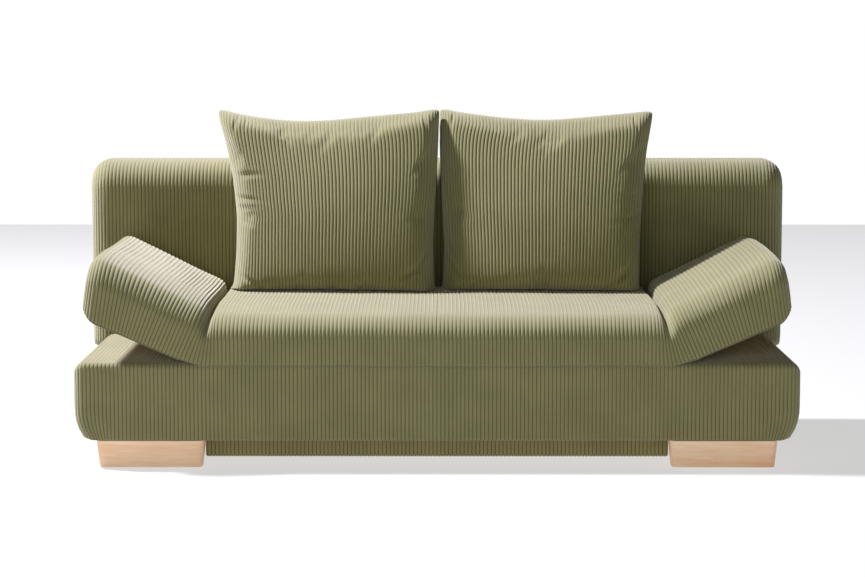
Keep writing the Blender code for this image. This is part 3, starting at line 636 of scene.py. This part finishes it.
def seat_half(side, sign):
    low, high = corner_points("seat_pad")
    thickness = high[2] - low[2]
    section_low, section_high = (low[1] - FRONT_OVERHANG, 0.0), (high[1] - 0.004, thickness)
    outer = section(section_low, section_high, SEAT_RADII, straight_steps=SIDE_STEPS)
    half_flat = HINGE.x + ARM_LENGTH - ARM_END_ROUND
    room = closing_room(section_low, section_high, ARM_INSETS)
    reach = half_flat + ARM_END_ROUND * math.pi / 2 + room
    ribs = round(reach / RIB)
    across = np.linspace(0.0, reach, ribs * STEPS_PER_RIB + 1)
    c, yz, turned = sweep(across, half_flat, ARM_END_ROUND, section_low, section_high,
                          SEAT_RADII, ARM_INSETS, SIDE_STEPS)
    y = yz[..., 0]
    # the arm's ribs wander a little, and fade to straight at its end
    wander = ripple(y, c[None, :] * 0.4, 3 + sign) * smooth_step(CREASE + 0.01, CREASE + 0.05, c)
    out = c[None, :] - HINGE.x + 0.0035 * wander * (1.0 - smooth_step(0.0, 1.0, turned))
    h = yz[..., 1] * (seat_thickness(c, thickness) / thickness)[None, :]
    fall = np.clip((section_low[0] + FRONT_FALL[0] - y) / FRONT_FALL[0], 0.0, 1.0) ** 2
    h = h - FRONT_FALL[1] * fall * (yz[..., 1] / thickness) ** 2
    # the sewn lower edge hangs over the front of the box
    lip = np.clip((low[1] + 0.03 - y) / 0.03, 0.0, 1.0) * np.clip(1 - h / 0.05, 0.0, 1.0)
    h = h - (0.012 + 0.010 * smooth_step(CREASE, CREASE + 0.06, c)) * lip
    # the arm is longer on top than underneath
    out = out + (h / thickness - 0.35) * 0.038 * smooth_step(CREASE + 0.12, CREASE + 0.33, c)
    turn = ARM_ANGLE * smooth_step(CREASE - 0.055, CREASE + 0.045, c)[None, :]
    rise = h - (HINGE.z - low[2])
    x = HINGE.x + out * np.cos(turn) - rise * np.sin(turn)
    z = HINGE.z + out * np.sin(turn) + rise * np.cos(turn)
    points = np.stack([sign * x, y + 0 * x, z], axis=2)
    points[..., 2] += 0.0015 * ripple(points[..., 0], points[..., 1], 7)
    pitch = reach / ribs
    # the sewn lower edge carries flattened ribs and painted shade
    obj = cloth_grid(f"seat_upholstery_{side}", points, across[None, :] / pitch * RIB,
                     lengths(outer)[:, None], flip=sign, seam_and_shade_rows=SEAM_AND_SHADE_ROWS)
    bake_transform(obj)
    return obj


left_half = seat_half("left", -1)
right_half = seat_half("right", 1)
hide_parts("seat_pad", "left_arm_pad")
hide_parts("seat_pad", "right_arm_pad")
print("seat halves:", len(left_half.data.vertices), len(right_half.data.vertices), "vertices")

# %% [markdown]
# ## Pillows: the filled case
# Two loose pillows lean on the back. Each is a case sewn from two pieces and stuffed with
# fibre, which slumps, so the pillow is thick at its foot and thin at its top. A flat case blown
# up by a simulation gives a star with pinched corners, so this starts from a form that already
# has about the right fullness, and lets the cloth find only its own small bulges and hollows.

# %% The filled form
PILLOW_CELLS = 46                   # cloth cells along each side of the simulated case
PILLOW_RIM = (0.044, 0.050)         # rounding at the two sides, and at top and bottom
PILLOW_CLOTH = (0.650, 0.572)       # width and height of the filled case
PILLOW_FILL = (0.100, 0.044)        # half thickness at the foot and at the top
PILLOW_CROWN = 0.42                 # how much fuller its middle is


def filled_form(u, v):
    """The filled case at cloth place (u, v), each -1 to 1: x, half thickness and z."""
    (rim_x, rim_z), (width, height) = PILLOW_RIM, PILLOW_CLOTH
    flat_x, flat_z = width / 2 - rim_x, height / 2 - rim_z
    x, turned_x = end_rounding(u * (flat_x + rim_x * math.pi / 2), flat_x, rim_x)
    z, turned_z = end_rounding(v * (flat_z + rim_z * math.pi / 2), flat_z, rim_z)
    sine_x = np.sqrt(1.0 - (1.0 - turned_x) ** 2)
    sine_z = np.sqrt(1.0 - (1.0 - turned_z) ** 2)
    corner = (sine_x * sine_z) ** 4 / 8
    x = x - np.sign(x) * rim_x * corner
    z = z - np.sign(z) * rim_z * corner
    up = z / height + 0.5
    half = PILLOW_FILL[0] + (PILLOW_FILL[1] - PILLOW_FILL[0]) * up
    crown = 1.0 + PILLOW_CROWN * (1.0 - (2 * x / width) ** 2) * (1.0 - (2 * z / height) ** 2)
    return x, half * crown * (1.0 - turned_x) * (1.0 - turned_z), z


def sewn_case(cells):
    """Front and back grids that share their rim; each vertex keeps its grid place as a number."""
    bm = bmesh.new()
    spot = bm.verts.layers.int.new("spot")
    for layer, facing in enumerate((-1.0, 1.0)):
        made = bmesh.ops.create_grid(bm, x_segments=cells, y_segments=cells, size=1.0)["verts"]
        low = min(v.co.x for v in made)
        span = max(v.co.x for v in made) - low
        for vert in made:
            i = round((vert.co.x - low) / span * cells)
            j = round((vert.co.y - low) / span * cells)
            vert[spot] = layer * (cells + 1) ** 2 + j * (cells + 1) + i
            x, half, z = filled_form(2 * i / cells - 1, 2 * j / cells - 1)
            vert.co = (x, facing * half, z)
    bmesh.ops.remove_doubles(bm, verts=bm.verts, dist=1e-4)
    bmesh.ops.recalc_face_normals(bm, faces=bm.faces)
    return bm


print("half thickness in the middle:", round(float(filled_form(0.0, 0.0)[1]), 3))

# %% [markdown]
# ## Pillows: stuffing by simulation
# Blender's cloth solver blows the case up from inside. Gravity is off, because the lean and the
# flat foot are shaped afterwards. The frames have to be stepped one by one, since each rests on
# the last. The settled mesh is copied out, so no live modifier is left on the piece.

# %% Cloth simulation
STUFFING_FRAMES = 24


def stuff(bm, pressure, frames, grow):
    """Blow the case up with Blender's cloth simulation and return the settled mesh."""
    mesh = bpy.data.meshes.new("stuffing")
    bm.to_mesh(mesh)
    bm.free()
    obj = bpy.data.objects.new("stuffing", mesh)
    bpy.context.scene.collection.objects.link(obj)
    cloth = obj.modifiers.new("Cloth", "CLOTH")
    cloth.settings.use_pressure = True
    cloth.settings.uniform_pressure_force = pressure
    cloth.settings.tension_stiffness = 14.0
    cloth.settings.compression_stiffness = 14.0
    cloth.settings.bending_stiffness = 0.4
    cloth.settings.shrink_min = -grow
    cloth.settings.mass = 0.25
    cloth.settings.air_damping = 3.0
    cloth.settings.effector_weights.gravity = 0.0
    cloth.collision_settings.use_collision = False
    cloth.point_cache.frame_end = frames
    for frame_number in range(1, frames + 1):
        bpy.context.scene.frame_set(frame_number)
    graph = bpy.context.evaluated_depsgraph_get()
    settled = bpy.data.meshes.new_from_object(obj.evaluated_get(graph))
    bpy.data.objects.remove(obj, do_unlink=True)
    bpy.context.scene.frame_set(1)
    return settled


print("frames of stuffing:", STUFFING_FRAMES)

# %% [markdown]
# ## Pillows: from coarse cells to fine ribs
# The simulated case has cells of about 14 mm, too coarse for ribs. Each vertex kept its place in
# the grid as a number, so the result can be read back as a table and drawn finer with a smooth
# curve through its points. No point may move more than 16 mm from the filled form, which keeps
# the pillow close to the space that its CAD block holds.

# %% Reading back and refining
def case_grids(mesh, cells):
    """The points of a case as two (rows, columns, 3) grids, front and back."""
    count = (cells + 1) ** 2
    spots = np.empty(len(mesh.vertices), dtype=int)
    mesh.attributes["spot"].data.foreach_get("value", spots)
    points = np.empty(len(mesh.vertices) * 3)
    mesh.vertices.foreach_get("co", points)
    both = np.full((2 * count, 3), np.nan)
    both[spots] = points.reshape(-1, 3)
    front, back = both.reshape(2, cells + 1, cells + 1, 3)
    front = np.where(np.isnan(front), back, front)
    back = np.where(np.isnan(back), front, back)
    return front, back


def capped(settled, start, most):
    """Let the simulation move a point only so far from where the filled form had it."""
    move = settled - start
    length = np.linalg.norm(move, axis=2, keepdims=True)
    return start + move * most * np.tanh(length / most) / np.maximum(length, 1e-9)


def finer(grid, count, axis):
    """Resample one axis of a grid with a Catmull-Rom curve through its points."""
    grid = np.moveaxis(grid, axis, 0)
    ends = np.concatenate([2 * grid[:1] - grid[1:2], grid, 2 * grid[-1:] - grid[-2:-1]])
    t = np.linspace(0, len(grid) - 1, count)
    k = np.minimum(t.astype(int), len(grid) - 2)
    f = (t - k).reshape(-1, *[1] * (grid.ndim - 1))
    a, b, c, d = (ends[k + n] for n in range(4))
    fine = b + 0.5 * f * (c - a + f * (2 * a - 5 * b + 4 * c - d + f * (3 * (b - c) + d - a)))
    return np.moveaxis(fine, 0, axis)


print("a finer row:", finer(np.array([0.0, 1.0, 0.0]), 5, 0).round(2))

# %% [markdown]
# ## Pillows: outline, lean and folds
# The sides of a stuffed pillow pull in between its corners, and its top sags between them. A few
# listed widths, smoothed into a curve, give each pillow its own outline, so the two differ as
# real ones do. Where the cloth is gathered at a corner or a side, it lies in short folds. A fold
# is a narrow valley with a low ridge on each side of it, placed one by one on the pillow's face.

# %% Outlines and folds
# Heights run from 0 at the foot to 1 at the top; widths are metres from the sofa's middle.
OUTER = {-1: ((0.0, 0.09, 0.25, 0.45, 0.65, 0.83, 0.96),
              (0.622, 0.608, 0.603, 0.604, 0.619, 0.642, 0.664)),
         1: ((0.0, 0.10, 0.30, 0.55, 0.75, 0.96),
             (0.604, 0.602, 0.606, 0.616, 0.628, 0.648))}
INNER = {-1: ((0.0, 0.10, 0.30, 0.50, 0.75, 1.0), (0.002, 0.008, 0.009, 0.003, -0.007, -0.011)),
         1: ((0.0, 0.10, 0.30, 0.50, 0.75, 1.0), (0.010, 0.018, 0.019, 0.012, 0.006, 0.004))}
TOP_DIP = {-1: (0.026, 0.60), 1: (0.022, 0.48)}      # depth, and place from the inner end

# Each fold: distance from the middle, height, angle, length, width and depth
FOLDS = {-1: ((0.575, 0.27, 5, 0.040, 0.008, 0.006), (0.580, 0.24, -8, 0.034, 0.007, 0.005),
              (0.570, 0.20, 12, 0.030, 0.008, 0.004), (0.560, 0.34, -4, 0.034, 0.009, 0.004),
              (0.585, 0.06, 60, 0.040, 0.009, 0.006), (0.560, 0.035, 25, 0.045, 0.009, 0.005),
              (0.045, 0.09, 130, 0.040, 0.008, 0.007), (0.070, 0.06, 155, 0.045, 0.008, 0.006),
              (0.030, 0.13, 105, 0.034, 0.008, 0.005), (0.600, 0.50, -75, 0.030, 0.008, 0.004),
              (0.570, 0.51, -80, 0.026, 0.007, 0.003), (0.035, 0.50, 80, 0.030, 0.008, 0.004)),
         1: ((0.050, 0.08, 130, 0.045, 0.009, 0.007), (0.080, 0.05, 160, 0.050, 0.009, 0.005),
             (0.040, 0.15, 110, 0.040, 0.008, 0.005), (0.560, 0.07, 55, 0.050, 0.010, 0.006),
             (0.530, 0.04, 30, 0.050, 0.010, 0.005), (0.580, 0.22, 15, 0.040, 0.009, 0.005),
             (0.585, 0.28, -5, 0.034, 0.008, 0.004), (0.590, 0.50, -75, 0.030, 0.008, 0.004),
             (0.045, 0.50, 75, 0.030, 0.008, 0.004))}


def flow(value, places, amounts):
    """A smooth curve through a few given amounts, read at any value."""
    fine = np.linspace(-0.3, 1.3, 321)
    rough = np.interp(fine, places, amounts)
    kernel = np.hanning(31) / np.hanning(31).sum()
    smooth = np.convolve(np.pad(rough, 15, mode="edge"), kernel, mode="valid")
    return np.interp(value, fine, smooth)


def tucks(a, b, folds):
    """Depth of the folds at cloth place (a, b)."""
    total = np.zeros(np.broadcast(a, b).shape)
    for a0, b0, angle, length, width, depth in folds:
        turn = math.radians(angle)
        along = (a - a0) * math.cos(turn) + (b - b0) * math.sin(turn)
        off = ((b - b0) * math.cos(turn) - (a - a0) * math.sin(turn)) / width
        total += depth * (1.0 - 1.2 * off ** 2) * np.exp(-off ** 2) * np.exp(-(along / length) ** 2)
    return total


print("folds:", len(FOLDS[-1]), "and", len(FOLDS[1]))

# %% [markdown]
# ## Pillows: in place
# The last moves put the pillow on the sofa. Its foot is squeezed flat on the seat and its rear
# rests against the back. Both are soft limits: near the surface, a point that would go through
# it is slowed down instead of being cut off, so no hard edge appears.

# %% Placing
FOOT = 0.122               # middle of the foot, in front of the rear of the pillow's CAD block
SINK = 0.034               # the round foot starts this much lower, before it is pressed flat
MIDDLE = 0.31              # middle of a pillow's width, from the middle of the sofa
LEAN = 0.110               # the top stands this far behind the foot
YAW = 0.07                 # slope along X: both pillows are turned to face a little to the left
SOFT = 0.02                # a soft limit starts this far before the surface
BACK_EDGE = (0.77, 0.88)   # over these heights the pillow passes the top of the back


def place_pillow(grid, facing, sign, low, high, reach):
    """Draw the sides and the top in, rest the pillow on the seat and lean it on the back."""
    width, height = PILLOW_CLOTH
    up = np.clip(grid[..., 2] / height + 0.5, 0.0, 1.0)
    row_reach = np.abs(grid[..., 0]).max(axis=1, keepdims=True)
    share = 0.5 * sign * grid[..., 0] / (0.75 * row_reach + 0.25 * reach) + 0.5
    outer, inner = flow(up, *OUTER[sign]), flow(up, *INNER[sign])
    x = inner + (outer - inner) * share
    depth, place = TOP_DIP[sign]
    z = grid[..., 2] + height / 2 + low[2] - SINK
    z = z - depth * np.exp(-((share - place) / 0.32) ** 2) * smooth_step(0.45, 1.0, up)
    y = grid[..., 1] + high[1] - FOOT + LEAN * up - YAW * sign * (x - MIDDLE)
    edge = smooth_step(0.0, 0.025, np.minimum(np.minimum(share, 1 - share) * width,
                                              np.minimum(up, 1 - up) * height))
    y = y + tucks(x, z - low[2], FOLDS[sign]) * (0.5 - 0.5 * facing * edge)
    floor_z = low[2] - 0.001
    z = np.where(z < floor_z + SOFT, floor_z + SOFT * np.exp((z - floor_z - SOFT) / SOFT), z)
    wall = high[1] + 0.002 + 0.030 * smooth_step(*BACK_EDGE, z)
    y = np.where(y > wall - SOFT, wall - SOFT * np.exp((wall - SOFT - y) / SOFT), y)
    return np.stack([sign * x, y, z], axis=2)


print("lean over a pillow's height:", round(math.degrees(math.atan(LEAN / PILLOW_CLOTH[1])), 1))

# %% The two pillows
PILLOW_RIBS = 66
PILLOW_ROWS = 90
MOST_MOVE = 0.016          # how far the simulation may move a point


def pillow(side, sign, grow, pressure):
    low, high = corner_points(f"{side}_pillow")
    start = bpy.data.meshes.new("start")
    case = sewn_case(PILLOW_CELLS)
    case.to_mesh(start)
    settled = stuff(case, pressure, STUFFING_FRAMES, grow)
    pairs = zip(case_grids(settled, PILLOW_CELLS), case_grids(start, PILLOW_CELLS))
    front, back = (capped(moved, still, MOST_MOVE) for moved, still in pairs)
    columns = PILLOW_RIBS * STEPS_PER_RIB + 1
    front = finer(finer(front, PILLOW_ROWS, 0), columns, 1)
    back = finer(finer(back, PILLOW_ROWS, 0), columns, 1)
    print(side, "pillow settled to", np.ptp(front.reshape(-1, 3), axis=0).round(3))
    reach = np.abs(front[..., 0]).max()
    front = place_pillow(front, -1.0, sign, low, high, reach)
    back = place_pillow(back, 1.0, sign, low, high, reach)
    loop = np.concatenate([front, back[::-1][1:-1], front[:1]])
    across = np.linspace(0, PILLOW_RIBS * RIB, columns)[None, :]
    along = lengths(loop[:, columns // 2, 1:])[:, None]
    # ribs flatten out at the side seams, where the front and the back are sewn together
    from_seam = np.minimum(np.arange(columns), np.arange(columns)[::-1])
    tall = RIB_HEIGHT * np.clip(from_seam / STEPS_PER_RIB, 0.0, 1.0)
    obj = cloth_grid(f"{side}_pillow_cushion", loop, across, along, height=tall)
    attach(obj, f"{side}_pillow")
    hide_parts(f"{side}_pillow")
    return obj


left_cushion = pillow("left", -1, 0.03, 2.0)
right_cushion = pillow("right", 1, 0.02, 2.4)
print("pillows:", len(left_cushion.data.vertices), len(right_cushion.data.vertices), "vertices")

# %% [markdown]
# ## The parts that come from the frame
# Feet, boards, rails, levers, hinges and rear cloth keep their CAD shape. They only get the
# finish of the real thing: lacquered beech on the feet, zinc on the pressed steel, dark woven
# cloth at the rear, and raw timber on everything that the covers hide.

# %% Finishes on the frame's parts
STEEL_WORDS = ("lever", "leaf", "bracket", "bolt", "pin")
for name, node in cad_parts.items():
    if name.endswith("_foot"):
        finish = BEECH
    elif any(word in name for word in STEEL_WORDS):
        finish = ZINC
    elif name in ("base_rear_cover", "back_rear_cover"):
        finish = LINING
    else:
        finish = TIMBER
    node.data.materials.clear()
    node.data.materials.append(finish)
print("frame parts with a finish:", len(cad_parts))

# %% [markdown]
# ## Studio
# The sofa stands on a plain pale floor in front of white. The floor glows a little, as a large
# sweep of white paper under studio lamps does, and that light from below fills the box and the
# plinth. The white around it is the world, which is kept from lighting the object, because light
# from all sides would wash out the ribs.

# %% Floor and surround
floor_material, floor_shader = new_material("pale_studio_floor")
floor_shader.inputs["Base Color"].default_value = rgba("#8e8e8c")
floor_shader.inputs["Roughness"].default_value = 0.9
floor_shader.inputs["Emission Color"].default_value = rgba("#ffffff")
floor_shader.inputs["Emission Strength"].default_value = 0.60
bpy.ops.mesh.primitive_plane_add(size=16.0)
studio_floor = bpy.context.object
studio_floor.name = "studio_floor"
studio_floor.data.materials.append(floor_material)

world = bpy.data.worlds.new("studio_light")
bpy.context.scene.world = world
world.use_nodes = True
background = world.node_tree.nodes["Background"]
background.inputs["Color"].default_value = (1.0, 1.0, 1.0, 1.0)
background.inputs["Strength"].default_value = 1.0
world.cycles_visibility.diffuse = False
world.cycles_visibility.glossy = False
print("floor:", tuple(round(v, 2) for v in studio_floor.dimensions))

# %% [markdown]
# ## Light
# The key is a round lamp to the upper left and slightly behind, so that it grazes the upright
# faces. Grazing light is what draws the ribs and the soft upper edges. It stands 8 m away and so
# fades a little towards the right. A wide soft panel beside the camera opens the shadows.

# %% Key and fill
KEY_FROM = Vector((-0.77, 0.16, 1.0))
KEY_DISTANCE = 8.0
KEY = 7.9                  # watts per square metre at the sofa
FRONT_FILL = 124.0         # watts of the wide soft panel

key_data = bpy.data.lights.new("key", "AREA")
key_data.shape = "DISK"
key_data.size = 0.9
key_data.energy = KEY * math.pi * KEY_DISTANCE ** 2
key_data.color = (1.0, 1.0, 1.12)
key = bpy.data.objects.new("key", key_data)
key.rotation_euler = KEY_FROM.to_track_quat("Z", "Y").to_euler()
key.location = KEY_FROM.normalized() * KEY_DISTANCE + Vector((0.0, 0.0, 0.4))
bpy.context.scene.collection.objects.link(key)

fill_data = bpy.data.lights.new("front_fill", "AREA")
fill_data.shape = "RECTANGLE"
fill_data.size = 6.0
fill_data.size_y = 3.0
fill_data.energy = FRONT_FILL
fill_data.color = (1.0, 0.99, 0.84)
front_fill = bpy.data.objects.new("front_fill", fill_data)
front_fill.location = (-1.0, -7.0, 1.4)
front_fill.rotation_euler = (math.pi / 2, 0, 0)
bpy.context.scene.collection.objects.link(front_fill)
print("key:", round(key_data.energy), "W")

# %% [markdown]
# ## Camera
# A long lens from a few metres away, a little above the back and tilted down, sees the sofa
# almost square on. The camera uses no shift and no depth of field, so that the same camera can
# be taken round the object. The plain view transform keeps the colours as they were picked.

# %% Camera
CAMERA_DISTANCE = 6.5      # from the front of the sofa
CAMERA_HEIGHT = 1.20
CAMERA_PITCH = 6.13        # degrees down
CAMERA_YAW = 0.108         # degrees to the left
LENS = 99.1                # mm, on a 36 mm sensor

camera_data = bpy.data.cameras.new("camera")
camera_data.lens = LENS
camera_data.sensor_width = 36.0
camera_data.clip_end = 100
camera = bpy.data.objects.new("camera", camera_data)
camera.location = (0.0, cad_box[0][1] - CAMERA_DISTANCE, CAMERA_HEIGHT)
camera.rotation_euler = (math.radians(90 - CAMERA_PITCH), 0, math.radians(CAMERA_YAW))
bpy.context.scene.collection.objects.link(camera)
bpy.context.scene.camera = camera
bpy.context.scene.view_settings.view_transform = "Standard"
print("camera at:", [round(v, 3) for v in camera.location])
